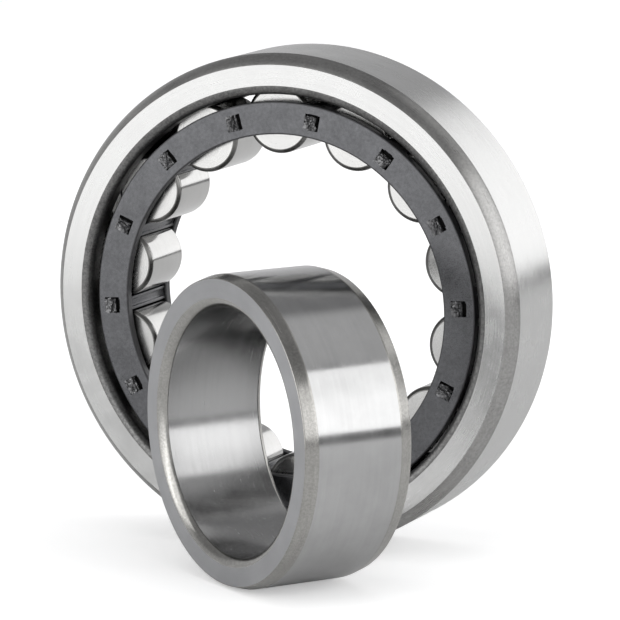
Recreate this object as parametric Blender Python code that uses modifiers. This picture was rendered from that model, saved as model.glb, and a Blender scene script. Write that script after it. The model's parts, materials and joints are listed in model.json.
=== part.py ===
"""A cylindrical roller bearing, 35 x 72 x 17 mm, with its loose inner ring drawn out of it.

The outer ring stands on its edge, its axis along +Y and its front face towards -Y. Its two flanges
hold a row of rollers, which a riveted steel cage keeps apart: two side rings joined by bars, whose
tenons are staked over in square holes. The plain inner ring stands on its own edge in front, turned
to one side. Without it the cage hangs a little low, and each roller has dropped in its pocket.
Lengths are in metres, +Z is up, and the origin is the middle of the outer ring.
"""

import math

import bmesh
import bpy
from mathutils import Matrix, Vector

MM = 0.001

# Driving dimensions
OUTSIDE_RADIUS = 36.0 * MM
SHAFT_RADIUS = 17.5 * MM
RING_WIDTH = 17.0 * MM
INNER_RACEWAY_RADIUS = 22.0 * MM
ROLLER_COUNT = 14
ROLLER_RADIUS = 5.0 * MM
ROLLER_LENGTH = 10.5 * MM
RUNNING_GAP = 0.1 * MM

# Outer ring
OUTER_CHAMFER_DEPTH = 1.5 * MM
OUTER_CHAMFER_LENGTH = 2.1 * MM
FLANGE_BORE_RADIUS = 30.2 * MM
FLANGE_CORNER_DEPTH = 1.3 * MM
FLANGE_CORNER_LENGTH = 1.05 * MM
FLANGE_EDGE = 0.15 * MM
UNDERCUT_DEPTH = 0.3 * MM
UNDERCUT_LENGTH = 0.7 * MM

# Inner ring
LEAD_IN_DEPTH = 0.5 * MM
LEAD_IN_LENGTH = 1.75 * MM
BORE_CHAMFER_DEPTH = 1.25 * MM
BORE_CHAMFER_LENGTH = 1.1 * MM

# Rollers
ROLLER_CHAMFER = 0.45 * MM

# Cage
SIDE_RING_INSIDE_RADIUS = 24.7 * MM
SIDE_RING_OUTSIDE_RADIUS = 29.4 * MM
SIDE_RING_THICKNESS = 1.4 * MM
SIDE_RING_EDGE = 0.15 * MM
SIDE_RING_SETBACK = 1.36 * MM
BAR_INSIDE_RADIUS = 24.85 * MM
BAR_OUTSIDE_RADIUS = 29.0 * MM
BAR_LIP_WIDTH = 0.38 * MM
BAR_LIP_HEIGHT = 0.25 * MM
BAR_SIDE_POINTS = 5
POCKET_GAP = 0.2 * MM
SHOULDER_GAP = 0.1 * MM
TENON_RADIUS = 27.1 * MM
TENON_WIDTH = 1.4 * MM
TENON_HEIGHT = 2.1 * MM
TENON_GAP = 0.12 * MM
HEAD_WIDTH = 2.3 * MM
HEAD_HEIGHT = 2.3 * MM
HEAD_DEPTH = 0.65 * MM
HEAD_STANDS_PROUD = 0.15 * MM

# How the pieces stand
TOP_ROLLER_LEAN = math.radians(3.3)
INNER_RING_TURN = math.radians(34.7)
INNER_RING_ACROSS = 7.0 * MM
INNER_RING_FORWARD = 25.15 * MM
CAGE_DROP = 0.3 * MM
MOST_ROLLER_DROP = 0.6 * MM
MOST_DROPPED = math.radians(110)

# Fineness of the round surfaces
OUTER_RING_STEPS = 84
INNER_RING_STEPS = 60
SIDE_RING_STEPS = 4 * ROLLER_COUNT
ROLLER_STEPS = 24
CORNER_PIECES = 2
SHARP_ANGLE = math.radians(30)
MERGE_DISTANCE = 0.001 * MM

# Sizes that follow from those above
HALF_WIDTH = RING_WIDTH / 2
PITCH_RADIUS = INNER_RACEWAY_RADIUS + ROLLER_RADIUS
OUTER_RACEWAY_RADIUS = PITCH_RADIUS + ROLLER_RADIUS + RUNNING_GAP
HALF_RACEWAY_WIDTH = ROLLER_LENGTH / 2 + RUNNING_GAP
ROLLER_SPACING = math.tau / ROLLER_COUNT
SIDE_RING_OUTER_FACE = HALF_WIDTH - SIDE_RING_SETBACK
SIDE_RING_INNER_FACE = SIDE_RING_OUTER_FACE - SIDE_RING_THICKNESS
BAR_HALF_LENGTH = SIDE_RING_INNER_FACE - SHOULDER_GAP
HEAD_TOP = SIDE_RING_OUTER_FACE + HEAD_STANDS_PROUD
AXIS_TO_Y = Matrix.Rotation(-math.pi / 2, 4, "X")

# Name: base colour, roughness, metallic
FINISHES = {
    "outer_ring_steel": ((0.62, 0.62, 0.61), 0.30, 1.0),
    "inner_ring_steel": ((0.50, 0.50, 0.50), 0.28, 1.0),
    "roller_steel": ((0.72, 0.71, 0.69), 0.15, 1.0),
    "cage_steel": ((0.11, 0.115, 0.13), 0.55, 0.4),
}


def clear_scene():
    for obj in list(bpy.data.objects):
        bpy.data.objects.remove(obj, do_unlink=True)


def new_collection(name):
    collection = bpy.data.collections.new(name)
    bpy.context.scene.collection.children.link(collection)
    return collection


def new_material(name):
    colour, roughness, metallic = FINISHES[name]
    material = bpy.data.materials.new(name)
    material.use_nodes = True
    shader = material.node_tree.nodes["Principled BSDF"]
    shader.inputs["Base Color"].default_value = (*colour, 1.0)
    shader.inputs["Roughness"].default_value = roughness
    shader.inputs["Metallic"].default_value = metallic
    return material


def new_object(name, mesh, collection):
    obj = bpy.data.objects.new(name, mesh)
    collection.objects.link(obj)
    return obj


def finish(obj, material):
    """Makes the modifiers permanent, shades the round surfaces smooth and gives the piece its material."""
    bpy.context.view_layer.update()
    graph = bpy.context.evaluated_depsgraph_get()
    mesh = bpy.data.meshes.new_from_object(obj.evaluated_get(graph))
    mesh.name = obj.name
    obj.modifiers.clear()
    obj.data = mesh
    mesh.shade_smooth()
    mesh.set_sharp_from_angle(angle=SHARP_ANGLE)
    mesh.materials.clear()
    mesh.materials.append(material)


def eased_corner(start, sharp, end, roundness, pieces):
    """A broken edge from start to end: straight at roundness 0, fuller towards the sharp corner at 1."""
    start, sharp, end = Vector(start), Vector(sharp), Vector(end)
    control = ((start + end) / 2).lerp(sharp, roundness)
    points = []
    for step in range(pieces + 1):
        t = step / pieces
        points.append(start * (1 - t) ** 2 + control * 2 * t * (1 - t) + end * t**2)
    return [tuple(point) for point in points]


def mirrored(upper_half):
    """A profile's lower half follows its upper half, turned over."""
    return upper_half + [(radius, -height) for radius, height in reversed(upper_half)]


def turned(name, profile, steps, collection, closed=True):
    """A piece turned about its own Z axis from (radius, height) points, which run down its outer side."""
    form = bmesh.new()
    points = [form.verts.new((radius, 0, height)) for radius, height in profile]
    for start, end in zip(points, points[1:]):
        form.edges.new((start, end))
    if closed:
        form.edges.new((points[-1], points[0]))
    mesh = bpy.data.meshes.new(name)
    form.to_mesh(mesh)
    form.free()
    obj = new_object(name, mesh, collection)
    screw = obj.modifiers.new("turn", "SCREW")
    screw.steps = steps
    screw.render_steps = steps
    screw.use_merge_vertices = True
    screw.merge_threshold = MERGE_DISTANCE
    return obj


def on_a_flat(steps):
    """Turns a ring by half a facet, so that it stands on a flat and not on an edge."""
    return Matrix.Rotation(math.pi / steps, 4, "Z")


def make_outer_ring(collection, material):
    wall = HALF_RACEWAY_WIDTH
    undercut = OUTER_RACEWAY_RADIUS + UNDERCUT_DEPTH
    flange_face = FLANGE_BORE_RADIUS + FLANGE_CORNER_DEPTH
    face_edge = OUTSIDE_RADIUS - OUTER_CHAMFER_DEPTH
    upper_half = [
        (OUTER_RACEWAY_RADIUS, wall - UNDERCUT_LENGTH),
        (undercut, wall - UNDERCUT_LENGTH + UNDERCUT_DEPTH / 2),
        (undercut, wall),
        (FLANGE_BORE_RADIUS + FLANGE_EDGE, wall),
        (FLANGE_BORE_RADIUS, wall + FLANGE_EDGE),
    ]
    upper_half += eased_corner(
        (FLANGE_BORE_RADIUS, HALF_WIDTH - FLANGE_CORNER_LENGTH),
        (FLANGE_BORE_RADIUS, HALF_WIDTH),
        (flange_face, HALF_WIDTH),
        roundness=0.8,
        pieces=CORNER_PIECES,
    )
    upper_half += eased_corner(
        (face_edge, HALF_WIDTH),
        (OUTSIDE_RADIUS, HALF_WIDTH),
        (OUTSIDE_RADIUS, HALF_WIDTH - OUTER_CHAMFER_LENGTH),
        roundness=0.35,
        pieces=CORNER_PIECES,
    )
    ring = turned("outer_ring", mirrored(upper_half), OUTER_RING_STEPS, collection)
    finish(ring, material)
    ring.matrix_world = AXIS_TO_Y @ on_a_flat(OUTER_RING_STEPS)


def make_inner_ring(collection, material):
    bore_edge = SHAFT_RADIUS + BORE_CHAMFER_DEPTH
    upper_half = eased_corner(
        (SHAFT_RADIUS, HALF_WIDTH - BORE_CHAMFER_LENGTH),
        (SHAFT_RADIUS, HALF_WIDTH),
        (bore_edge, HALF_WIDTH),
        roundness=0.5,
        pieces=CORNER_PIECES,
    )
    upper_half += [
        (INNER_RACEWAY_RADIUS - LEAD_IN_DEPTH, HALF_WIDTH),
        (INNER_RACEWAY_RADIUS, HALF_WIDTH - LEAD_IN_LENGTH),
    ]
    ring = turned("inner_ring", mirrored(upper_half), INNER_RING_STEPS, collection)
    finish(ring, material)
    centre = (INNER_RING_ACROSS, -INNER_RING_FORWARD, INNER_RACEWAY_RADIUS - OUTSIDE_RADIUS)
    facing = Matrix.Rotation(-INNER_RING_TURN, 4, "Z") @ AXIS_TO_Y
    ring.matrix_world = Matrix.Translation(centre) @ facing @ on_a_flat(INNER_RING_STEPS)


def make_cage_axis(collection):
    """An empty on the cage's own axis. Its local Z runs along world +Y, and bar 1 stands on its local X."""
    axis = new_object("cage_axis", None, collection)
    first_bar = ROLLER_SPACING / 2 - math.pi / 2 - TOP_ROLLER_LEAN
    drop = Matrix.Translation((0, 0, -CAGE_DROP))
    axis.matrix_world = drop @ AXIS_TO_Y @ Matrix.Rotation(first_bar, 4, "Z")
    return axis


def around_the_cage(angle):
    return Matrix.Rotation(angle, 4, "Z")


def roller_centre(number):
    """Where a roller stands in the world: dropped from the pitch circle, most at the upper left, and clear of the raceway."""
    angle = math.pi / 2 + TOP_ROLLER_LEAN - number * ROLLER_SPACING
    drop = MOST_ROLLER_DROP / 2 * (1 + math.cos(angle - MOST_DROPPED))
    centre = Vector((PITCH_RADIUS * math.cos(angle), 0, PITCH_RADIUS * math.sin(angle) - drop))
    farthest = PITCH_RADIUS + RUNNING_GAP / 2
    return centre * min(1, farthest / centre.length)


def make_rollers(collection, axis, material):
    end = ROLLER_LENGTH / 2
    edge = ROLLER_RADIUS - ROLLER_CHAMFER
    profile = mirrored([(0, end), (edge, end), (ROLLER_RADIUS, end - ROLLER_CHAMFER)])
    first = turned("roller_01", profile, ROLLER_STEPS, collection, closed=False)
    finish(first, material)
    for number in range(ROLLER_COUNT):
        roller = first if number == 0 else new_object(f"roller_{number + 1:02d}", first.data, collection)
        roller.parent = axis
        roller.matrix_local = Matrix.Translation(axis.matrix_world.inverted() @ roller_centre(number))


def block(name, width, height, low, high, collection):
    """A block across a bar at the tenon's radius: width along the rim, height outwards, low to high on the axis."""
    form = bmesh.new()
    bmesh.ops.create_cube(form, size=1.0)
    bmesh.ops.scale(form, vec=(height, width, high - low), verts=form.verts)
    bmesh.ops.translate(form, vec=(TENON_RADIUS, 0, (low + high) / 2), verts=form.verts)
    mesh = bpy.data.meshes.new(name)
    form.to_mesh(mesh)
    form.free()
    return new_object(name, mesh, collection)


def ring_of_copies(obj):
    """Repeats a cutter's mesh once for each bar."""
    form = bmesh.new()
    for number in range(ROLLER_COUNT):
        copied = bmesh.new()
        copied.from_mesh(obj.data)
        bmesh.ops.transform(copied, matrix=around_the_cage(number * ROLLER_SPACING), verts=copied.verts)
        turned_mesh = bpy.data.meshes.new("turned_copy")
        copied.to_mesh(turned_mesh)
        copied.free()
        form.from_mesh(turned_mesh)
        bpy.data.meshes.remove(turned_mesh)
    form.to_mesh(obj.data)
    form.free()


def hide_cutter(obj):
    obj.hide_render = True
    obj.display_type = "WIRE"


def boolean(obj, other, operation):
    modifier = obj.modifiers.new(f"{operation.lower()} {other.name}", "BOOLEAN")
    modifier.operation = operation
    modifier.object = other


def make_side_rings(collection, cutters, axis, material):
    """Two flat rings with a square hole for each tenon, stepped on the outside for its staked head."""
    half = SIDE_RING_THICKNESS / 2
    inside, outside, edge = SIDE_RING_INSIDE_RADIUS, SIDE_RING_OUTSIDE_RADIUS, SIDE_RING_EDGE
    upper_half = [(inside, half - edge), (inside + edge, half), (outside - edge, half), (outside, half - edge)]
    front = turned("cage_side_ring_front", mirrored(upper_half), SIDE_RING_STEPS, collection)
    clear = 2 * TENON_GAP
    step_depth = HEAD_DEPTH - HEAD_STANDS_PROUD + TENON_GAP
    hole = block("tenon_hole", TENON_WIDTH + clear, TENON_HEIGHT + clear, -RING_WIDTH, RING_WIDTH, cutters)
    step = block("head_step", HEAD_WIDTH + clear, HEAD_HEIGHT + clear, -RING_WIDTH, step_depth - half, cutters)
    for cutter in (hole, step):
        ring_of_copies(cutter)
        hide_cutter(cutter)
        boolean(front, cutter, "DIFFERENCE")
    finish(front, material)
    front.parent = axis
    rear = new_object("cage_side_ring_rear", front.data, collection)
    rear.parent = axis
    middle = SIDE_RING_OUTER_FACE - half
    front.matrix_local = Matrix.Translation((0, 0, -middle))
    rear.matrix_local = Matrix.Translation((0, 0, middle)) @ Matrix.Rotation(math.pi, 4, "X")


def half_of_bar(roller):
    """One half of a bar's section, beside a roller at (outwards, along the rim). Its hollow side is concentric with it."""
    way = math.copysign(1, roller.y)
    pocket = ROLLER_RADIUS + POCKET_GAP
    side = []
    for step in range(BAR_SIDE_POINTS):
        share = step / (BAR_SIDE_POINTS - 1)
        outwards = BAR_INSIDE_RADIUS + share * (BAR_OUTSIDE_RADIUS - BAR_INSIDE_RADIUS)
        along = roller.y - way * math.sqrt(pocket**2 - (outwards - roller.x) ** 2)
        side.append((outwards, along))
    lip = side[0][1] - way * BAR_LIP_WIDTH
    return [(BAR_INSIDE_RADIUS + BAR_LIP_HEIGHT, lip), (BAR_INSIDE_RADIUS, lip)] + side


def new_bar(number, collection, axis):
    """A bar between its two rollers, before its tenon."""
    place = axis.matrix_world @ around_the_cage(number * ROLLER_SPACING)
    before, after = (place.inverted() @ roller_centre(n % ROLLER_COUNT) for n in (number, number + 1))
    form = bmesh.new()
    section = half_of_bar(after) + half_of_bar(before)[::-1]
    outline = [form.verts.new((outwards, along, -BAR_HALF_LENGTH)) for outwards, along in section]
    face = form.faces.new(outline)
    lifted = bmesh.ops.extrude_face_region(form, geom=[face])["geom"]
    corners = [item for item in lifted if isinstance(item, bmesh.types.BMVert)]
    bmesh.ops.translate(form, vec=(0, 0, 2 * BAR_HALF_LENGTH), verts=corners)
    bmesh.ops.recalc_face_normals(form, faces=form.faces)
    name = f"cage_bar_{number + 1:02d}"
    mesh = bpy.data.meshes.new(name)
    form.to_mesh(mesh)
    form.free()
    return new_object(name, mesh, collection)


def make_bars(collection, cutters, axis, material):
    """Spacer bars between the rollers. Each has a tenon at both ends with a staked head."""
    head_foot = HEAD_TOP - HEAD_DEPTH
    helpers = [
        block("tenon", TENON_WIDTH, TENON_HEIGHT, -head_foot - TENON_GAP, head_foot + TENON_GAP, cutters),
        block("front_head", HEAD_WIDTH, HEAD_HEIGHT, -HEAD_TOP, -head_foot, cutters),
        block("rear_head", HEAD_WIDTH, HEAD_HEIGHT, head_foot, HEAD_TOP, cutters),
    ]
    for helper in helpers:
        hide_cutter(helper)
    for number in range(ROLLER_COUNT):
        bar = new_bar(number, collection, axis)
        for helper in helpers:
            boolean(bar, helper, "UNION")
        finish(bar, material)
        bar.parent = axis
        bar.matrix_local = around_the_cage(number * ROLLER_SPACING)


def main():
    clear_scene()
    bearing = new_collection("cylindrical_roller_bearing")
    cutters = new_collection("cutters")
    make_outer_ring(bearing, new_material("outer_ring_steel"))
    make_inner_ring(bearing, new_material("inner_ring_steel"))
    axis = make_cage_axis(bearing)
    cage_steel = new_material("cage_steel")
    make_rollers(bearing, axis, new_material("roller_steel"))
    make_side_rings(bearing, cutters, axis, cage_steel)
    make_bars(bearing, cutters, axis, cage_steel)


main()
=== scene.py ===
"""Looks of a cylindrical roller bearing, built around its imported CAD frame.

The outer ring stands on its edge with its rollers and its riveted cage, and the loose inner ring stands in
front. Every CAD node gets a fine piece of its own: ground and turned steel rings, honed rollers, and a cage
of phosphated sheet steel with the ends of its bars hammered over. Each mesh is made in its own axis frame,
in millimetres with Z along the axis, and then written in the frame's metres. Its vertices keep that first
place as the attribute "local", which the materials read, so a pattern turns with its piece.
"""

import json
import math
import random
from typing import NamedTuple

import bmesh
import bpy
import numpy as np
from mathutils import Matrix, Vector, noise


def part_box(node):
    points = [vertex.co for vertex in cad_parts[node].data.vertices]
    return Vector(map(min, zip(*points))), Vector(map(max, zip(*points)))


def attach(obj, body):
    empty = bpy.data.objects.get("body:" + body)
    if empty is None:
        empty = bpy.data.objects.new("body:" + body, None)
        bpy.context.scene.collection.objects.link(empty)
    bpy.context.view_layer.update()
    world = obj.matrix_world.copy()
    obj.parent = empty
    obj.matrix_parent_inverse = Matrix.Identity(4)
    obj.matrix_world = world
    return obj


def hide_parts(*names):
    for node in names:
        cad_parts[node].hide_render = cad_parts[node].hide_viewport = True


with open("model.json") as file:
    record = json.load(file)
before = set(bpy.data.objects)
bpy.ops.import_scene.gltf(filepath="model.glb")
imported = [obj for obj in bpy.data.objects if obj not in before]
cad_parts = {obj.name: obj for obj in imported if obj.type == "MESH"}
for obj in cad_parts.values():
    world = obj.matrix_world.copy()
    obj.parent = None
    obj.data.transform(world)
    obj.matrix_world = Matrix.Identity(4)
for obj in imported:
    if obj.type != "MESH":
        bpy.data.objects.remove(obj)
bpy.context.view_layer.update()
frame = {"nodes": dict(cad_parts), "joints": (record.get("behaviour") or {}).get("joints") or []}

MM = 0.001
SEED = 72

# The frame's own places
JOINTS = {joint["name"]: joint for joint in frame["joints"]}
ROLLERS = sorted(name for name in frame["nodes"] if name.startswith("roller_"))
BARS = sorted(name for name in frame["nodes"] if name.startswith("cage_bar_"))
PITCH = math.tau / len(ROLLERS)
AXIS_TO_Y = Matrix.Rotation(-math.pi / 2, 4, "X")

# Rings, in millimetres. The outside radii are those of the widest circle inside the CAD facets.
HALF_WIDTH = 8.5
OUTER_RING_FACETS = 84
INNER_RING_FACETS = 60
OUTSIDE_RADIUS = 36.0 * math.cos(math.pi / OUTER_RING_FACETS)
OUTER_CHAMFER_DEPTH = 1.5
OUTER_CHAMFER_LENGTH = 2.1
OUTER_CHAMFER_FULLNESS = 0.35
FLANGE_BORE_RADIUS = 30.2
FLANGE_CORNER_DEPTH = 1.3
FLANGE_CORNER_LENGTH = 1.05
FLANGE_CORNER_FULLNESS = 0.8
FLANGE_EDGE = 0.15
OUTER_RACEWAY_RADIUS = 32.1
HALF_RACEWAY_WIDTH = 5.35
UNDERCUT_DEPTH = 0.3
UNDERCUT_LENGTH = 0.7
UNDERCUT_SLOPE = 0.15
INNER_RACEWAY_RADIUS = 22.0 * math.cos(math.pi / INNER_RING_FACETS)
LEAD_IN_DEPTH = 0.5
LEAD_IN_LENGTH = 1.75
LEAD_IN_BLEND_DEPTH = 0.05
LEAD_IN_BLEND_BEFORE = 0.15
LEAD_IN_BLEND_AFTER = 0.2
INNER_EDGE = 0.12
INNER_EDGE_SLOPE = 0.03
SHAFT_RADIUS = 17.5
BORE_CHAMFER_DEPTH = 1.25
BORE_CHAMFER_LENGTH = 1.1
BORE_CHAMFER_FULLNESS = 0.5
RING_STEPS = 360

# Rollers, in millimetres
ROLLER_RADIUS = 5.0
ROLLER_HALF_LENGTH = 5.25
ROLLER_STEPS = 120
ROLLER_FLAT_MARGIN = 1.2
ROLLER_CHAMFER = 0.5
ROLLER_CHAMFER_LENGTH = 0.45
ROLLER_END_ROUND = (0.12, 0.08, 0.06)
ROLLER_SIDE_ROUND = (0.08, 0.09, 0.15)

# Cage, in millimetres
TOP_ROLLER_LEAN = math.radians(3.3)
SIDE_RING_INSIDE_RADIUS = 24.7
SIDE_RING_OUTSIDE_RADIUS = 29.4
SIDE_RING_OUTER_FACE = 7.14
SIDE_RING_INNER_FACE = 5.74
SIDE_RING_ROUND = 0.22
SIDE_RING_STEPS = 20 * len(BARS)
BAR_HALF_LENGTH = 5.64
BAR_INSIDE_RADIUS = 24.85
BAR_OUTSIDE_RADIUS = 29.0
BAR_LIP_WIDTH = 0.38
BAR_LIP_HEIGHT = 0.25
BAR_LIP_SLOPE = 0.1
BAR_LIP_FOOT = 0.02
BAR_SIDE_STEPS = 14
BAR_EDGE = 0.07
POCKET_RADIUS = 5.2
TENON_RADIUS = 27.1
TENON_WIDTH = 1.4
TENON_HEIGHT = 2.1
TENON_GAP = 0.12
HOLE_PLAY = 0.04
HOLE_LENGTH = 4

# Stakes: hammered ends in their recesses, in millimetres. A range is that of a random draw, the opening's
# way is a mean and a spread in degrees, and a scale is that of a noise, per millimetre.
HEAD_TOP = 7.29
HEAD_DEPTH = 0.65
HEAD_SIZE = 2.5
HEAD_CUTS = 21
HEAD_WANDER = 0.1
HEAD_WANDER_SCALE = 1.8
RECESS_SIZE = 2.26
RECESS_DEPTH = 0.62
RECESS_CUTS = 3
RECESS_WANDER = 0.09
RECESS_WANDER_SCALE = 0.9
STAKE_SHIFT = Vector((-0.12, 0.12, 0))
OPENING_WAY = (28, 12)
LEAST_OPENNESS = 0.2
GAP_WIDTH = 0.85
GAP_RANGE = (0.75, 1.2)
WIDEST_GAP = 0.72
JAG = 0.7
JAG_SCALE = 1.6
BURR_HEIGHT = 0.15
BURR_REACH = 0.88
BURR_WIDTH = 0.2
GROOVES = 2
GROOVE_TURN_RANGE = (-0.9, 0.9)
GROOVE_SHIFT_RANGE = (-0.5, 0.5)
GROOVE_DEPTH_RANGE = (0.12, 0.3)
GROOVE_WIDTH_RANGE = (0.09, 0.16)
GROOVE_RIDGE = 0.45
GROOVE_WANDER = 0.12
TEAR_START = 1.2
TEAR_WIDTH = 0.6
TEAR_WANDER = 0.4
TEAR_WANDER_SCALE = 1.3
TEAR_SCALE = 2.6
SMOOTH_DROP = 0.17
SMOOTH_ROUGHNESS = 0.06
TORN_DROP = 0.05
TORN_ROUGHNESS = 0.16
LEAST_DROP = 0.03
MOST_DROP = 0.5
NOISE_FIELD = (-50, 50)
WANDER_PLACES = (19.3, 43.7, 71.9)
SIDES = ((1, 0), (-1, 0), (0, 1), (0, -1))

# Mesh work
CORNER_PIECES = 10
HOLD = 0.06
HOLD_SPAN = 4 * HOLD
LEAST_RADIUS = 1e-6
BOOLEAN_TRIES = 12
NUDGE = (0.0031, 0.0043, -0.0023)
LEAST_VOLUME_LEFT = 0.9
TURNED_SHARP = math.radians(32)
CAGE_SHARP = math.radians(40)
BEVELLED_FROM = math.radians(35)


# ---------------------------------------------------------------- meshes


def object_from(form, name, materials):
    mesh = bpy.data.meshes.new(name)
    form.to_mesh(mesh)
    form.free()
    for material in materials:
        mesh.materials.append(material)
    obj = bpy.data.objects.new(name, mesh)
    bpy.context.scene.collection.objects.link(obj)
    return obj


def evaluated_mesh(obj):
    bpy.context.view_layer.update()
    graph = bpy.context.evaluated_depsgraph_get()
    return bpy.data.meshes.new_from_object(obj.evaluated_get(graph))


def volume_of(mesh):
    """The volume that a closed mesh holds, or 0 if it isn't closed."""
    form = bmesh.new()
    form.from_mesh(mesh)
    closed = all(edge.is_manifold for edge in form.edges)
    volume = form.calc_volume() if closed else 0.0
    form.free()
    return volume


def boolean(obj, other, operation):
    """Joins or cuts. A result that isn't whole is tried again with the other mesh moved by a few microns."""
    least_volume = LEAST_VOLUME_LEFT * volume_of(obj.data)
    modifier = obj.modifiers.new(operation.lower(), "BOOLEAN")
    modifier.operation = operation
    modifier.solver = "MANIFOLD"
    modifier.material_mode = "TRANSFER"
    modifier.object = other
    for _ in range(BOOLEAN_TRIES):
        mesh = evaluated_mesh(obj)
        if volume_of(mesh) > least_volume:
            break
        other.data.transform(Matrix.Translation(NUDGE))
        other.data.update()
    else:
        raise RuntimeError(f"{obj.name}: no whole {operation.lower()} with {other.name}")
    obj.modifiers.clear()
    obj.data = mesh
    bpy.data.objects.remove(other)


def wander(spot):
    """Three noises, each of -1 to 1. Blender's own noise_vector isn't used: it differs from run to run."""
    return Vector([noise.noise(spot + Vector((0, 0, away))) for away in WANDER_PLACES])


def noise_origin(rng):
    """A random place in the noise, so that each piece reads its own."""
    return Vector([rng.uniform(*NOISE_FIELD) for _ in range(3)])


def place(obj, matrix, seed, smooth_angle):
    """Writes the mesh in the frame's metres, and keeps its own place and the direction round its axis."""
    mesh = obj.data
    count = len(mesh.vertices)
    local = np.empty(count * 3, np.float32)
    mesh.vertices.foreach_get("co", local)
    local = local.reshape(-1, 3)
    around = np.stack([-local[:, 1], local[:, 0], np.zeros(count)], axis=1)
    length = np.maximum(np.linalg.norm(around, axis=1, keepdims=True), LEAST_RADIUS)
    turn = np.array(matrix.to_3x3().normalized(), float)
    around = (around / length) @ turn.T
    for name, kind, values in (
        ("local", "FLOAT_VECTOR", local),
        ("around", "FLOAT_VECTOR", around.astype(np.float32)),
        ("seed", "FLOAT", np.full(count, seed, np.float32)),
    ):
        layer = mesh.attributes.new(name, kind, "POINT")
        layer.data.foreach_set("vector" if kind == "FLOAT_VECTOR" else "value", values.ravel())
    mesh.transform(matrix @ Matrix.Scale(MM, 4))
    mesh.shade_smooth()
    mesh.set_sharp_from_angle(angle=smooth_angle)


def stand_for(obj, node, body):
    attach(obj, body)
    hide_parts(node)


# ---------------------------------------------------------------- turned pieces


def eased_corner(start, sharp, end, fullness, pieces=CORNER_PIECES):
    """A broken edge from start to end: straight at fullness 0, and bulging most towards the corner at 1."""
    start, sharp, end = Vector(start), Vector(sharp), Vector(end)
    control = ((start + end) / 2).lerp(sharp, fullness)
    points = []
    for step in range(pieces + 1):
        t = step / pieces
        points.append(start * (1 - t) ** 2 + control * 2 * t * (1 - t) + end * t**2)
    return [tuple(point) for point in points]


def zoned(points, zone, last_zone=None):
    """Gives each point a zone, that of the stretch after it. The last point may have another."""
    rows = [(radius, height, zone) for radius, height in points]
    if last_zone is not None:
        rows[-1] = (*rows[-1][:2], last_zone)
    return rows


def rounded(profile, reach, zone, pieces=3):
    """Rounds each corner of a closed profile by a small reach. The rounds are of the given zone."""
    points = []
    for i, (radius, height, zone_after) in enumerate(profile):
        here = Vector((radius, height))
        before = Vector(profile[i - 1][:2]) - here
        after = Vector(profile[(i + 1) % len(profile)][:2]) - here
        start, end = here + before.normalized() * reach, here + after.normalized() * reach
        points += zoned(eased_corner(start, here, end, 1.0, pieces), zone, zone_after)
    return points


def held(profile):
    """Adds a point close to both ends of each long stretch, so that smooth shading stays in the corners."""
    points = []
    for i, point in enumerate(profile):
        after = profile[(i + 1) % len(profile)]
        points.append(point)
        span = Vector(after[:2]) - Vector(point[:2])
        if span.length > HOLD_SPAN:
            step = span.normalized() * HOLD
            points.append((point[0] + step.x, point[1] + step.y, point[2]))
            points.append((after[0] - step.x, after[1] - step.y, point[2]))
    return points


def mirrored(upper_half, closing_zone=None):
    """A profile's lower half follows its upper half, turned over. The closing stretch may have its own zone."""
    lower = []
    for i in range(len(upper_half) - 1, -1, -1):
        radius, height, _ = upper_half[i]
        lower.append((radius, -height, upper_half[i - 1][2] if i else upper_half[0][2]))
    if closing_zone is not None:
        lower[-1] = (*lower[-1][:2], closing_zone)
    return upper_half + lower


def turned(name, profile, steps, materials):
    """A closed profile of (radius, height, zone) points turned about Z. A zone is a material's index."""
    form = bmesh.new()
    rows = []
    for radius, height, _ in profile:
        if radius == 0:
            rows.append([form.verts.new((0, 0, height))] * steps)
            continue
        row = []
        for step in range(steps):
            angle = math.tau * step / steps
            row.append(form.verts.new((radius * math.cos(angle), radius * math.sin(angle), height)))
        rows.append(row)
    for i, (_, _, zone) in enumerate(profile):
        near, far = rows[i], rows[(i + 1) % len(rows)]
        if near[0] is near[1] and far[0] is far[1]:
            continue
        for step in range(steps):
            after = (step + 1) % steps
            corners = [near[step], near[after], far[after], far[step]]
            corners = [c for n, c in enumerate(corners) if c not in corners[:n]]
            form.faces.new(corners).material_index = zone
    bmesh.ops.recalc_face_normals(form, faces=form.faces)
    return object_from(form, name, materials)


def make_outer_ring(look):
    ground, chamfer, raceway, flange = range(4)
    wall = HALF_RACEWAY_WIDTH
    undercut_foot = wall - UNDERCUT_LENGTH
    undercut = OUTER_RACEWAY_RADIUS + UNDERCUT_DEPTH
    upper_half = [
        (OUTER_RACEWAY_RADIUS, undercut_foot, chamfer),
        (undercut, undercut_foot + UNDERCUT_SLOPE, chamfer),
        (undercut, wall, raceway),
        (FLANGE_BORE_RADIUS + FLANGE_EDGE, wall, flange),
        (FLANGE_BORE_RADIUS, wall + FLANGE_EDGE, flange),
    ]
    upper_half += zoned(eased_corner(
        (FLANGE_BORE_RADIUS, HALF_WIDTH - FLANGE_CORNER_LENGTH),
        (FLANGE_BORE_RADIUS, HALF_WIDTH),
        (FLANGE_BORE_RADIUS + FLANGE_CORNER_DEPTH, HALF_WIDTH),
        FLANGE_CORNER_FULLNESS), flange, ground)
    upper_half += zoned(eased_corner(
        (OUTSIDE_RADIUS - OUTER_CHAMFER_DEPTH, HALF_WIDTH),
        (OUTSIDE_RADIUS, HALF_WIDTH),
        (OUTSIDE_RADIUS, HALF_WIDTH - OUTER_CHAMFER_LENGTH),
        OUTER_CHAMFER_FULLNESS), chamfer, ground)
    skins = [look["outer_ground"], look["outer_chamfer"], look["outer_raceway"], look["outer_flange_turned_painted_shade"]]
    ring = turned("outer_ring_turned", held(mirrored(upper_half, raceway)), RING_STEPS, skins)
    place(ring, AXIS_TO_Y, seed=3.0, smooth_angle=TURNED_SHARP)
    stand_for(ring, "outer_ring", "outer_ring")


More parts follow.
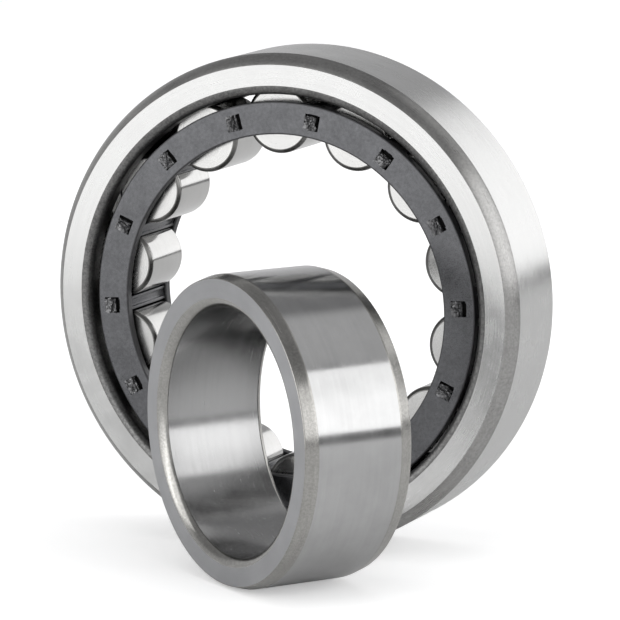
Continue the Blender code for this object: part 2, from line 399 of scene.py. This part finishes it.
def make_inner_ring(look):
    face, chamfer, raceway, bore = range(4)
    upper_half = zoned(eased_corner(
        (SHAFT_RADIUS, HALF_WIDTH - BORE_CHAMFER_LENGTH),
        (SHAFT_RADIUS, HALF_WIDTH),
        (SHAFT_RADIUS + BORE_CHAMFER_DEPTH, HALF_WIDTH),
        BORE_CHAMFER_FULLNESS), chamfer, face)
    edge = INNER_RACEWAY_RADIUS - LEAD_IN_DEPTH
    upper_half += zoned(eased_corner(
        (edge - INNER_EDGE, HALF_WIDTH),
        (edge, HALF_WIDTH),
        (edge + INNER_EDGE_SLOPE, HALF_WIDTH - INNER_EDGE), 1.0, pieces=4), chamfer)
    lead_in_end = HALF_WIDTH - LEAD_IN_LENGTH
    upper_half += zoned(eased_corner(
        (INNER_RACEWAY_RADIUS - LEAD_IN_BLEND_DEPTH, lead_in_end + LEAD_IN_BLEND_BEFORE),
        (INNER_RACEWAY_RADIUS, lead_in_end),
        (INNER_RACEWAY_RADIUS, lead_in_end - LEAD_IN_BLEND_AFTER), 1.0, pieces=4), chamfer, raceway)
    skins = [look["inner_face"], look["inner_chamfer"], look["inner_raceway"], look["inner_bore"]]
    ring = turned("inner_ring_turned", held(mirrored(upper_half, bore)), RING_STEPS, skins)
    joint = JOINTS["inner_ring_spin"]
    axis = Vector(joint["axis"])
    facing = Matrix.Rotation(-math.atan2(axis.x, axis.y), 4, "Z") @ AXIS_TO_Y
    place(ring, Matrix.Translation(joint["pos_m"]) @ facing, seed=11.0, smooth_angle=TURNED_SHARP)
    stand_for(ring, "inner_ring", "inner_ring")


def roller_profile(end, side, edge):
    """A roller's section: a flat end, a dark chamfer between two small rounds, and the rolling side."""
    r, h = ROLLER_RADIUS, ROLLER_HALF_LENGTH
    foot = r - ROLLER_CHAMFER
    upper_half = [(0, h, end), (r - ROLLER_FLAT_MARGIN, h, end)]
    before, outwards, down = ROLLER_END_ROUND
    upper_half += zoned(eased_corner(
        (foot - before, h), (foot, h), (foot + outwards, h - down), 1.0, pieces=4), edge)
    shoulder = h - ROLLER_CHAMFER_LENGTH
    inwards, up, down = ROLLER_SIDE_ROUND
    upper_half += zoned(eased_corner(
        (r - inwards, shoulder + up), (r, shoulder), (r, shoulder - down), 1.0, pieces=5), side)
    open_half = held(upper_half)[:-2]
    return mirrored(open_half)


def make_rollers(look, rng):
    profile = roller_profile(0, 1, 2)
    skins = [look["roller_end"], look["roller_side"], look["roller_edge"]]
    for number, node in enumerate(ROLLERS):
        roller = turned(f"{node}_honed", profile, ROLLER_STEPS, skins)
        turn = Matrix.Rotation(rng.uniform(0, math.tau), 4, "Z")
        centre = Matrix.Translation(JOINTS[f"{node}_spin"]["pos_m"])
        place(roller, centre @ AXIS_TO_Y @ turn, seed=20.0 + 3 * number, smooth_angle=TURNED_SHARP)
        stand_for(roller, node, node)


# ---------------------------------------------------------------- cage


def cage_place():
    """The cage's own axis frame: it hangs a little below the bearing's axis."""
    low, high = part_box("cage_side_ring_front")
    return Matrix.Translation((0, 0, (low[2] + high[2]) / 2)) @ AXIS_TO_Y


def cage_turn(number):
    """A bar's place round the cage, as a turn about the cage's axis from local X."""
    return Matrix.Rotation(PITCH * (number + 0.5) - math.pi / 2 - TOP_ROLLER_LEAN, 4, "Z")


def grid_box(size, centre, cuts, name, material):
    """A box with an even grid on every side."""
    form = bmesh.new()
    bmesh.ops.create_cube(form, size=1.0)
    bmesh.ops.subdivide_edges(form, edges=form.edges, cuts=cuts, use_grid_fill=True)
    bmesh.ops.scale(form, vec=size, verts=form.verts)
    bmesh.ops.translate(form, vec=centre, verts=form.verts)
    return object_from(form, name, [material])


def stake_centre(turn, height):
    """The middle of a stake, a hair off its tenon, in its bar's own frame."""
    return Vector((TENON_RADIUS, 0, height)) + turn.inverted().to_3x3() @ STAKE_SHIFT


class Stake(NamedTuple):
    """What chance decides about one stake. Directions are in its bar's own frame."""

    origin: Vector
    opening: Vector
    gaps: list
    grooves: list


def drawn_stake(turn, rng):
    """Draws a stake. Its opening faces the same way on every bar, as if one press had leaned that way."""

    def in_bar_frame(way):
        return turn.inverted() @ Vector((math.cos(way), -math.sin(way), 0))

    origin = noise_origin(rng)
    way = math.radians(rng.gauss(*OPENING_WAY))
    opening = in_bar_frame(way)
    gaps = []
    for side_x, side_y in SIDES:
        openness = side_x * opening.x + side_y * opening.y
        gap = GAP_WIDTH * openness * rng.uniform(*GAP_RANGE) if openness > LEAST_OPENNESS else 0.0
        gaps.append((side_x, side_y, gap))
    grooves = []
    for _ in range(GROOVES):
        across = in_bar_frame(way + rng.uniform(*GROOVE_TURN_RANGE))
        shift = rng.uniform(*GROOVE_SHIFT_RANGE)
        depth = rng.uniform(*GROOVE_DEPTH_RANGE)
        width = rng.uniform(*GROOVE_WIDTH_RANGE)
        grooves.append((across, shift, depth, width))
    return Stake(origin, opening, gaps, grooves)


def hammered_drop(x, y, stake):
    """How far the blow sank the head at (x, y). It is smooth on the closed side and torn elsewhere."""
    spot = Vector((x, y, 0))
    across = (x * stake.opening.x + y * stake.opening.y) / (HEAD_SIZE / 2)
    edge = TEAR_WANDER * noise.noise(spot * TEAR_WANDER_SCALE + stake.origin)
    torn = min(1.0, max(0.0, (across + TEAR_START + edge) / TEAR_WIDTH))
    rough = noise.fractal(spot * TEAR_SCALE + stake.origin, 0.7, 2.1, 4)
    drop = SMOOTH_DROP + TORN_DROP * torn + (SMOOTH_ROUGHNESS + TORN_ROUGHNESS * torn) * rough
    for way, shift, depth, width in stake.grooves:
        away = x * way.x + y * way.y - shift + GROOVE_WANDER * noise.noise(spot * 2 - stake.origin)
        groove = math.exp(-((away / width) ** 2))
        ridge = math.exp(-(((away + 2 * width) / width) ** 2))
        drop += torn * depth * (groove - GROOVE_RIDGE * ridge)
    return drop


def staked_head(end, turn, rng, material):
    """A tenon's end, hammered over until it fills its recess, but for a torn gap along one side or two."""
    middle = end * (HEAD_TOP - HEAD_DEPTH / 2)
    centre = stake_centre(turn, middle)
    head = grid_box((HEAD_SIZE, HEAD_SIZE, HEAD_DEPTH), centre, HEAD_CUTS, "head", material)
    stake = drawn_stake(turn, rng)
    for vertex in head.data.vertices:
        x, y = vertex.co.x - centre.x, vertex.co.y - centre.y
        height = (vertex.co.z - middle) * end / HEAD_DEPTH + 0.5
        drop = hammered_drop(x, y, stake)
        for side_x, side_y, gap in stake.gaps:
            reach = max(0.0, x * side_x + y * side_y) / (HEAD_SIZE / 2)
            drop -= BURR_HEIGHT * gap / GAP_WIDTH * max(0.0, 1 - abs(reach - BURR_REACH) / BURR_WIDTH)
            along_side = Vector((x * side_y * JAG_SCALE, y * side_x * JAG_SCALE, 3))
            jag = 1 + JAG * noise.noise(along_side + stake.origin)
            pull = reach * min(gap * jag, WIDEST_GAP)
            vertex.co.x -= side_x * pull
            vertex.co.y -= side_y * pull
        vertex.co.z -= end * height * min(max(drop, LEAST_DROP), MOST_DROP)
        wobble = wander(Vector((x, y, height)) * HEAD_WANDER_SCALE + stake.origin)
        vertex.co.x += HEAD_WANDER * wobble.x * height
        vertex.co.y += HEAD_WANDER * wobble.y * height
    return head


def half_of_bar(roller):
    """Half a bar's section, beside a roller at (outwards, along the rim) that its hollow side fits round."""
    way = math.copysign(1, roller.y)
    side = []
    for step in range(BAR_SIDE_STEPS + 1):
        outwards = BAR_INSIDE_RADIUS + step / BAR_SIDE_STEPS * (BAR_OUTSIDE_RADIUS - BAR_INSIDE_RADIUS)
        side.append((outwards, roller.y - way * math.sqrt(POCKET_RADIUS**2 - (outwards - roller.x) ** 2)))
    lip = side[0][1] - way * BAR_LIP_WIDTH
    groove = (BAR_INSIDE_RADIUS + BAR_LIP_HEIGHT, lip - way * BAR_LIP_SLOPE)
    return [groove, (BAR_INSIDE_RADIUS + BAR_LIP_FOOT, lip)] + side


def bar_outline(number):
    """A bar's section between its two rollers, in millimetres in its own frame."""
    bar_place = cage_place() @ cage_turn(number)
    rollers = [ROLLERS[n % len(ROLLERS)] for n in (number, number + 1)]
    before, after = (bar_place.inverted() @ Vector(JOINTS[f"{name}_spin"]["pos_m"]) / MM for name in rollers)
    return half_of_bar(after) + half_of_bar(before)[::-1]


def bar_body(name, number, materials):
    """A bar from shoulder to shoulder, with its long edges broken."""
    form = bmesh.new()
    outline = [form.verts.new((outwards, along, -BAR_HALF_LENGTH)) for outwards, along in bar_outline(number)]
    face = form.faces.new(outline)
    lifted = bmesh.ops.extrude_face_region(form, geom=[face])["geom"]
    corners = [item for item in lifted if isinstance(item, bmesh.types.BMVert)]
    bmesh.ops.translate(form, vec=(0, 0, 2 * BAR_HALF_LENGTH), verts=corners)
    bmesh.ops.recalc_face_normals(form, faces=form.faces)
    bar = object_from(form, name, materials)
    bevel = bar.modifiers.new("edges", "BEVEL")
    bevel.width = BAR_EDGE
    bevel.segments = 2
    bevel.limit_method = "ANGLE"
    bevel.angle_limit = BEVELLED_FROM
    mesh = evaluated_mesh(bar)
    bar.modifiers.clear()
    bar.data = mesh
    return bar


def make_bars(look, rng):
    foot = HEAD_TOP - HEAD_DEPTH + TENON_GAP
    tenon_size = (TENON_HEIGHT, TENON_WIDTH, 2 * foot)
    for number, node in enumerate(BARS):
        turn = cage_turn(number)
        bar = bar_body(f"{node}_staked", number, [look["cage"], look["stake"]])
        # The tenon takes the near-black recess look: painted shade down in its hole.
        boolean(bar, grid_box(tenon_size, (TENON_RADIUS, 0, 0), 0, "tenon", look["recess"]), "UNION")
        for end in (-1, 1):
            boolean(bar, staked_head(end, turn, rng, look["stake"]), "UNION")
        bar.data.transform(turn)
        place(bar, cage_place(), seed=60.0 + number, smooth_angle=CAGE_SHARP)
        stand_for(bar, node, "cage")


def side_ring_profile(face, wall):
    half = (SIDE_RING_OUTER_FACE - SIDE_RING_INNER_FACE) / 2
    inside, outside = SIDE_RING_INSIDE_RADIUS, SIDE_RING_OUTSIDE_RADIUS
    corners = [(outside, half, wall), (outside, -half, face), (inside, -half, wall), (inside, half, face)]
    return held(rounded(corners, SIDE_RING_ROUND, wall))


def cut_recess(ring, number, end, rng, material):
    """Cuts a tenon's square hole through a side ring, and the ragged square recess round its mouth. Their walls
    take the cutters' near-black recess look: painted shade.
    """
    turn = cage_turn(number)
    low, high = SIDE_RING_OUTER_FACE - RECESS_DEPTH, SIDE_RING_OUTER_FACE + 1
    size = (RECESS_SIZE, RECESS_SIZE, high - low)
    recess = grid_box(size, stake_centre(turn, end * (low + high) / 2), RECESS_CUTS, "recess", material)
    origin = noise_origin(rng)
    for vertex in recess.data.vertices:
        wobble = wander(vertex.co * RECESS_WANDER_SCALE + origin)
        vertex.co.x += RECESS_WANDER * wobble.x
        vertex.co.y += RECESS_WANDER * wobble.y
    size = (TENON_HEIGHT + HOLE_PLAY, TENON_WIDTH + HOLE_PLAY, HOLE_LENGTH)
    middle = (SIDE_RING_OUTER_FACE + SIDE_RING_INNER_FACE) / 2
    hole = grid_box(size, (TENON_RADIUS, 0, end * middle), 0, "hole", material)
    for cutter in (hole, recess):
        cutter.data.transform(turn)
        boolean(ring, cutter, "DIFFERENCE")


def make_side_rings(look, rng):
    skins = [look["cage"], look["cage_wall_painted_shade"], look["recess"]]
    profile = side_ring_profile(0, 1)
    middle = (SIDE_RING_OUTER_FACE + SIDE_RING_INNER_FACE) / 2
    for node, end in (("cage_side_ring_front", -1), ("cage_side_ring_rear", 1)):
        ring = turned(f"{node}_pressed", profile, SIDE_RING_STEPS, skins)
        ring.data.transform(Matrix.Translation((0, 0, end * middle)))
        for number in range(len(BARS)):
            cut_recess(ring, number, end, rng, look["recess"])
        place(ring, cage_place(), seed=90.0 + end, smooth_angle=CAGE_SHARP)
        stand_for(ring, node, "cage")


# ---------------------------------------------------------------- materials


def colour_sockets(sockets):
    """The colour sockets of a Mix node, which has a set of sockets for each data type."""
    return [socket for socket in sockets if socket.type == "RGBA"]


class Look:
    """A Principled material that is being wired up."""

    def __init__(self, name, colour, roughness, metallic, anisotropic=0.0):
        self.material = bpy.data.materials.new(name)
        self.material.use_nodes = True
        self.tree = self.material.node_tree
        self.shader = self.tree.nodes["Principled BSDF"]
        self.shader.inputs["Base Color"].default_value = (*colour, 1)
        self.shader.inputs["Roughness"].default_value = roughness
        self.shader.inputs["Metallic"].default_value = metallic
        self.colour = colour
        if anisotropic:
            self.shader.inputs["Anisotropic"].default_value = anisotropic
            self.shader.inputs["Anisotropic Rotation"].default_value = 0.25
            turn = self.tree.nodes.new("ShaderNodeVectorTransform")
            turn.vector_type, turn.convert_from, turn.convert_to = "VECTOR", "OBJECT", "WORLD"
            self.join(self.attribute("around", "Vector"), turn.inputs["Vector"])
            self.join(turn.outputs["Vector"], self.shader.inputs["Tangent"])

    def join(self, source, socket):
        self.tree.links.new(source, socket)

    def put(self, socket, value):
        if isinstance(value, bpy.types.NodeSocket):
            self.join(value, socket)
        else:
            socket.default_value = value

    def attribute(self, name, output):
        node = self.tree.nodes.new("ShaderNodeAttribute")
        node.attribute_name = name
        return node.outputs[output]

    def maths(self, operation, *values):
        node = self.tree.nodes.new("ShaderNodeMath")
        node.operation = operation
        for socket, value in zip(node.inputs, values):
            self.put(socket, value)
        return node.outputs["Value"]

    def vector(self, operation, first, second=None):
        node = self.tree.nodes.new("ShaderNodeVectorMath")
        node.operation = operation
        self.put(node.inputs[0], first)
        if second is not None:
            self.put(node.inputs["Scale" if operation == "SCALE" else 1], second)
        return node.outputs["Value" if operation == "LENGTH" else "Vector"]

    def combine(self, x, y, z):
        node = self.tree.nodes.new("ShaderNodeCombineXYZ")
        for socket, value in zip(node.inputs, (x, y, z)):
            self.put(socket, value)
        return node.outputs["Vector"]

    def noise(self, vector, scale, detail=3.0, roughness=0.55):
        """A noise of 0 to 1 about 0.5. Each piece has its own, by its seed."""
        node = self.tree.nodes.new("ShaderNodeTexNoise")
        node.noise_dimensions = "4D"
        self.put(node.inputs["Vector"], vector)
        self.join(self.attribute("seed", "Fac"), node.inputs["W"])
        node.inputs["Scale"].default_value = scale
        node.inputs["Detail"].default_value = detail
        node.inputs["Roughness"].default_value = roughness
        return node.outputs["Fac"]

    def spread(self, value, low, high, new_low, new_high):
        """Maps low..high to new_low..new_high, smoothly, and keeps to that range."""
        node = self.tree.nodes.new("ShaderNodeMapRange")
        node.interpolation_type = "SMOOTHSTEP"
        for socket, number in zip(node.inputs, (value, low, high, new_low, new_high)):
            self.put(socket, number)
        return node.outputs["Result"]

    def blend(self, colour, share):
        """The base colour, with a share of another colour mixed in."""
        node = self.tree.nodes.new("ShaderNodeMix")
        node.data_type = "RGBA"
        first, second = colour_sockets(node.inputs)
        first.default_value = (*self.colour, 1)
        second.default_value = (*colour, 1)
        self.join(share, node.inputs["Factor"])
        return colour_sockets(node.outputs)[0]

    def tinted(self, colour, factor):
        """Makes the base colour a colour times a factor."""
        self.join(self.vector("SCALE", colour, factor), self.shader.inputs["Base Color"])

    def raised(self, height, depth):
        """Bump from a height of 0 to 1 that stands for depth, in metres."""
        node = self.tree.nodes.new("ShaderNodeBump")
        node.inputs["Strength"].default_value = 1.0
        node.inputs["Distance"].default_value = depth
        self.join(height, node.inputs["Height"])
        self.join(node.outputs["Normal"], self.shader.inputs["Normal"])


def steel(name, colour, roughness, anisotropic, lines, line_depth, line_contrast, grain=0.0):
    """Turned, ground or honed steel: fine rings round the axis, at lines a millimetre, and faint blotches.

    A pattern that is stretched round the axis reads (direction, radius + height) instead of the place itself.
    """
    look = Look(name, colour, roughness, 1.0, anisotropic)
    spot = look.attribute("local", "Vector")
    split = look.tree.nodes.new("ShaderNodeSeparateXYZ")
    look.join(spot, split.inputs["Vector"])
    x, y, z = split.outputs
    flat = look.combine(x, y, 0.0)
    direction = look.vector("NORMALIZE", flat)
    along = look.maths("ADD", look.vector("LENGTH", flat), z)
    round_axis = look.vector("MULTIPLY", direction, (0.45, 0.45, 0))
    stretched = look.vector("ADD", round_axis, look.combine(0.0, 0.0, along))
    coarse = look.noise(look.vector("MULTIPLY", stretched, (1, 1, lines * 0.35)), 1.0, 2.0)
    fine = look.noise(look.vector("MULTIPLY", stretched, (2.6, 2.6, lines)), 1.0, 3.0, 0.7)
    rings = look.maths("MULTIPLY_ADD", coarse, 0.5, look.maths("MULTIPLY", fine, 0.5))
    blotches = look.noise(spot, 0.22, 4.0, 0.6)
    specks = look.spread(look.noise(spot, 5.0, 2.0), 0.70, 0.78, 0.0, 0.25)
    shade = look.spread(rings, 0.3, 0.7, 1 - line_contrast, 1 + line_contrast)
    shade = look.maths("ADD", shade, look.spread(blotches, 0.3, 0.7, -0.05, 0.05))
    height = rings
    if grain:
        speckle = look.noise(spot, 3.2, 3.0, 0.7)
        shade = look.maths("ADD", shade, look.spread(speckle, 0.32, 0.68, -grain, grain))
        height = look.maths("ADD", rings, look.maths("MULTIPLY", speckle, 0.6 * grain))
    look.tinted(colour, look.maths("SUBTRACT", shade, specks))
    rough = look.spread(fine, 0.25, 0.75, roughness * 0.88, roughness * 1.14)
    rough = look.maths("ADD", rough, look.spread(blotches, 0.3, 0.7, -0.03, 0.04))
    look.join(look.maths("ADD", rough, specks), look.shader.inputs["Roughness"])
    look.raised(height, line_depth)
    return look.material


def phosphated(name, colour, roughness, metallic, grain_depth, wear_and_glint_share):
    """Phosphated sheet steel: a matt dark skin, grainy and cloudy, with grey steel showing where the skin is
    rubbed off. Where that share is large, as on the stakes, the lighter patches are also painted glints.
    """
    look = Look(name, colour, roughness, metallic)
    spot = look.attribute("local", "Vector")
    clouds = look.noise(spot, 0.35, 4.0, 0.6)
    mottle = look.noise(spot, 2.2, 4.0, 0.65)
    grain = look.noise(spot, 9.0, 3.0, 0.6)
    # Lighter patches: skin rubbed off, and on the stakes painted glints too.
    scuffs_and_glints = look.spread(look.noise(spot, 1.4, 5.0, 0.75), 0.62, 0.74, 0.0, wear_and_glint_share)
    shade = look.spread(mottle, 0.25, 0.75, 0.84, 1.16)
    shade = look.maths("ADD", shade, look.spread(clouds, 0.3, 0.7, -0.08, 0.08))
    shade = look.maths("ADD", shade, look.spread(grain, 0.3, 0.7, -0.08, 0.08))
    bare_steel_and_glint = tuple(min(1.0, 2.6 * c) for c in colour)
    look.tinted(look.blend(bare_steel_and_glint, scuffs_and_glints), shade)
    rough = look.spread(grain, 0.3, 0.7, roughness - 0.08, roughness + 0.1)
    rough = look.maths("SUBTRACT", rough, look.maths("MULTIPLY", scuffs_and_glints, 0.3))
    look.join(rough, look.shader.inputs["Roughness"])
    look.raised(look.maths("MULTIPLY_ADD", mottle, 0.6, look.maths("MULTIPLY", grain, 0.4)), grain_depth)
    return look.material


def make_looks():
    """Each look by its name: the finishes, some carrying painted shade and glints as marked below, and the
    near-black painted shade of the recesses. Its values are in the order of steel's and phosphated's arguments.
    """
    steels = {
        "outer_ground": ((0.50, 0.50, 0.495), 0.24, 0.6, 5.0, 1e-6, 0.02),
        "outer_chamfer": ((0.305, 0.302, 0.296), 0.30, 0.4, 3.0, 4e-6, 0.09, 0.13),
        "outer_raceway": ((0.45, 0.45, 0.44), 0.18, 0.4, 6.0, 1e-6, 0.04),
        # The flange's bore, corner and edges: a duller turned finish, and far darker still as painted shade
        # from the bearing's dark inside.
        "outer_flange_turned_painted_shade": ((0.135, 0.134, 0.132), 0.34, 0.3, 3.0, 3e-6, 0.09, 0.35),
        "inner_face": ((0.375, 0.377, 0.386), 0.34, 0.3, 5.0, 1.2e-6, 0.02),
        "inner_chamfer": ((0.34, 0.335, 0.32), 0.22, 0.4, 4.0, 3e-6, 0.09, 0.12),
        "inner_raceway": ((0.41, 0.41, 0.41), 0.15, 0.75, 4.0, 0.8e-6, 0.03),
        "inner_bore": ((0.39, 0.39, 0.39), 0.22, 0.55, 5.0, 0.3e-6, 0.02),
        "roller_end": ((0.50, 0.498, 0.49), 0.25, 0.3, 6.0, 0.8e-6, 0.03),
        "roller_side": ((0.45, 0.447, 0.44), 0.12, 0.6, 5.0, 0.8e-6, 0.03),
        "roller_edge": ((0.17, 0.168, 0.163), 0.28, 0.3, 5.0, 1e-6, 0.04),
    }
    phosphates = {
        "cage": ((0.104, 0.105, 0.110), 0.29, 0.95, 0.8e-5, 0.12),
        # A darker copy of the cage look on the side rings' walls and rounded edges: painted shade along them.
        "cage_wall_painted_shade": ((0.060, 0.060, 0.063), 0.50, 0.5, 1.2e-5, 0.1),
        # Lighter than the cage, and much scuffed lighter: hammered bare steel, and painted glints too.
        "stake": ((0.16, 0.16, 0.163), 0.32, 0.9, 3.0e-5, 0.8),
        # Near black: painted shade in the recesses, the holes and the tenons seen through the gaps.
        "recess": ((0.008, 0.008, 0.008), 0.7, 1.0, 1.5e-5, 0.05),
    }
    look = {name: steel(name, *values) for name, values in steels.items()}
    look.update({name: phosphated(name, *values) for name, values in phosphates.items()})
    return look


# ---------------------------------------------------------------- stage

# Places are in metres and azimuths in degrees, clockwise from the back as seen from above.
CAMERA_AT = (0.25578, -0.58007, 0.10731)
CAMERA_LEFT_TURN = math.radians(23.709)
CAMERA_DIP = math.radians(9.7807)
CAMERA_LENS = 258.75
CAMERA_SENSOR = 36.0
CAMERA_CLIP = (0.01, 20)
FLOOR_LEVEL = -OUTSIDE_RADIUS * MM
FLOOR_SIZE = 3.0
FLOOR_GLOW = 0.37
FLOOR_FADE = (0.85, 1.8)
CARD_CLEARANCE = 0.001
TOP_LIGHT_SIZE = 1.6
TOP_LIGHT_HEIGHT = 1.4
TOP_LIGHT_POWER = 6.0
# The world's colour, as (height of the direction from level, 0, to straight up, 1; red and green; blue)
SKY = ((0.0, 0.75, 0.76), (0.20, 0.66, 0.6666), (0.38, 0.60, 0.606), (0.5, 0.34, 0.3434), (1.0, 0.33, 0.335))
SKY_GLOW_AZIMUTH = math.radians(55)
SKY_GLOW_ELEVATION = math.radians(52)
SKY_GLOW_EDGE = (0.91, 0.965)
SKY_GLOW = 0.4


def aim_level(obj, forward):
    obj.rotation_mode = "QUATERNION"
    obj.rotation_quaternion = forward.to_track_quat("-Z", "Y")


def make_camera():
    data = bpy.data.cameras.new("camera")
    data.lens = CAMERA_LENS
    data.sensor_width = CAMERA_SENSOR
    data.clip_start, data.clip_end = CAMERA_CLIP
    camera = bpy.data.objects.new("camera", data)
    bpy.context.scene.collection.objects.link(camera)
    across, ahead = math.sin(CAMERA_LEFT_TURN), math.cos(CAMERA_LEFT_TURN)
    level = math.cos(CAMERA_DIP)
    camera.location = CAMERA_AT
    aim_level(camera, Vector((-across * level, ahead * level, -math.sin(CAMERA_DIP))))
    bpy.context.scene.camera = camera


def area_light(name, shape, size, power, location):
    data = bpy.data.lights.new(name, "AREA")
    data.shape = shape
    data.size = size
    data.energy = power
    light = bpy.data.objects.new(name, data)
    bpy.context.scene.collection.objects.link(light)
    light.location = location
    light.visible_camera = False
    return light


def softbox(name, azimuth, low, high, distance, width, radiance, shines=True):
    """A tall soft light that faces the object. Its lower and upper edge are given as elevations in degrees."""
    bottom, top = distance * math.tan(math.radians(low)), distance * math.tan(math.radians(high))
    height = top - bottom
    turn = math.radians(azimuth)
    centre = Vector((distance * math.sin(turn), distance * math.cos(turn), (bottom + top) / 2))
    light = area_light(name, "RECTANGLE", width, radiance * math.pi * width * height, centre)
    light.data.size_y = height
    light.visible_diffuse = shines
    aim_level(light, Vector((-centre.x, -centre.y, 0)))


def make_lights():
    softbox("right_softbox", azimuth=96, low=1.5, high=41, distance=0.8, width=1.1, radiance=1.7)
    softbox("back_right_softbox", azimuth=24, low=-1.5, high=35, distance=1.2, width=0.9, radiance=1.15)
    softbox("front_softbox", azimuth=-156, low=8, high=50, distance=0.9, width=1.2, radiance=1.6)
    softbox("front_card", azimuth=-156, low=-8, high=14, distance=0.24, width=0.36, radiance=1.11, shines=False)
    top = area_light("top_light", "DISK", TOP_LIGHT_SIZE, TOP_LIGHT_POWER, (0, 0, TOP_LIGHT_HEIGHT))
    top.visible_glossy = False


def smooth_range(tree, source, low, high, new_low, new_high):
    node = tree.nodes.new("ShaderNodeMapRange")
    node.interpolation_type = "SMOOTHSTEP"
    tree.links.new(source, node.inputs["Value"])
    for socket, number in zip(list(node.inputs)[1:5], (low, high, new_low, new_high)):
        socket.default_value = number
    return node.outputs["Result"]


def make_world():
    """A grey studio, brighter low down and with a glow at the upper right. The camera sees plain white."""
    world = bpy.data.worlds.new("studio")
    bpy.context.scene.world = world
    world.use_nodes = True
    tree = world.node_tree
    direction = tree.nodes.new("ShaderNodeTexCoord").outputs["Generated"]
    split = tree.nodes.new("ShaderNodeSeparateXYZ")
    tree.links.new(direction, split.inputs["Vector"])

    ramp = tree.nodes.new("ShaderNodeValToRGB")
    elements = ramp.color_ramp.elements
    for height, _, _ in SKY[1:-1]:
        elements.new(height)
    for element, (_, grey, blue) in zip(elements, SKY):
        element.color = (grey, grey, blue, 1)
    tree.links.new(split.outputs["Z"], ramp.inputs["Fac"])

    level = math.cos(SKY_GLOW_ELEVATION)
    towards = tree.nodes.new("ShaderNodeVectorMath")
    towards.operation = "DOT_PRODUCT"
    tree.links.new(direction, towards.inputs[0])
    towards.inputs[1].default_value = (
        math.sin(SKY_GLOW_AZIMUTH) * level, math.cos(SKY_GLOW_AZIMUTH) * level, math.sin(SKY_GLOW_ELEVATION))
    glow = smooth_range(tree, towards.outputs["Value"], *SKY_GLOW_EDGE, 0.0, SKY_GLOW)
    total = tree.nodes.new("ShaderNodeVectorMath")
    total.operation = "ADD"
    tree.links.new(ramp.outputs["Color"], total.inputs[0])
    tree.links.new(glow, total.inputs[1])

    path = tree.nodes.new("ShaderNodeLightPath")
    mix = tree.nodes.new("ShaderNodeMix")
    mix.data_type = "RGBA"
    studio, seen = colour_sockets(mix.inputs)
    seen.default_value = (1, 1, 1, 1)
    tree.links.new(total.outputs["Vector"], studio)
    tree.links.new(path.outputs["Is Camera Ray"], mix.inputs["Factor"])
    tree.links.new(colour_sockets(mix.outputs)[0], tree.nodes["Background"].inputs["Color"])


def plain_material(name, grey, roughness):
    material = bpy.data.materials.new(name)
    material.use_nodes = True
    shader = material.node_tree.nodes["Principled BSDF"]
    shader.inputs["Base Color"].default_value = (grey, grey, grey, 1)
    shader.inputs["Roughness"].default_value = roughness
    return material, shader


def make_floor():
    """A pale floor, lifted for the camera only: by a little near the object, and to white far away."""
    form = bmesh.new()
    bmesh.ops.create_grid(form, x_segments=8, y_segments=8, size=FLOOR_SIZE)
    material, shader = plain_material("floor", 0.86, 0.8)
    shader.inputs["Specular IOR Level"].default_value = 0.2
    shader.inputs["Emission Color"].default_value = (1, 1, 1, 1)
    tree = material.node_tree
    spot = tree.nodes.new("ShaderNodeNewGeometry")
    away = tree.nodes.new("ShaderNodeVectorMath")
    away.operation = "LENGTH"
    tree.links.new(spot.outputs["Position"], away.inputs[0])
    path = tree.nodes.new("ShaderNodeLightPath")
    glow = tree.nodes.new("ShaderNodeMath")
    glow.operation = "MULTIPLY"
    tree.links.new(path.outputs["Is Camera Ray"], glow.inputs[0])
    tree.links.new(smooth_range(tree, away.outputs["Value"], *FLOOR_FADE, FLOOR_GLOW, 1.0), glow.inputs[1])
    tree.links.new(glow.outputs["Value"], shader.inputs["Emission Strength"])
    floor = object_from(form, "floor", [material])
    floor.location = (0, 0, FLOOR_LEVEL)


def make_dark_card(name, azimuth, near, far, half_width, top, grey):
    """A dark card on the floor in front of a softbox: the dark line under the softbox's reflection."""
    form = bmesh.new()
    turn = Matrix.Rotation(-math.radians(azimuth), 4, "Z")
    low = FLOOR_LEVEL + CARD_CLEARANCE
    rows = []
    for distance, height in ((near, low), (far, low), (far, top)):
        ends = (Vector((across, distance, height)) for across in (-half_width, half_width))
        rows.append([form.verts.new(turn @ end) for end in ends])
    for first, second in zip(rows, rows[1:]):
        form.faces.new((first[0], first[1], second[1], second[0]))
    card = object_from(form, name, [plain_material(name, grey, 0.9)[0]])
    card.visible_camera = False
    card.visible_diffuse = False
    card.visible_shadow = False


def make_dark_cards():
    make_dark_card("right_dark_card", azimuth=90, near=0.36, far=0.79, half_width=0.6, top=0.02, grey=0.2)
    make_dark_card("back_right_dark_card", azimuth=24, near=0.5, far=1.18, half_width=0.5, top=-0.028, grey=0.3)


def main():
    rng = random.Random(SEED)
    look = make_looks()
    make_outer_ring(look)
    make_inner_ring(look)
    make_rollers(look, rng)
    make_side_rings(look, rng)
    make_bars(look, rng)
    make_floor()
    make_dark_cards()
    make_lights()
    make_world()
    make_camera()
    bpy.context.scene.view_settings.view_transform = "Standard"


main()
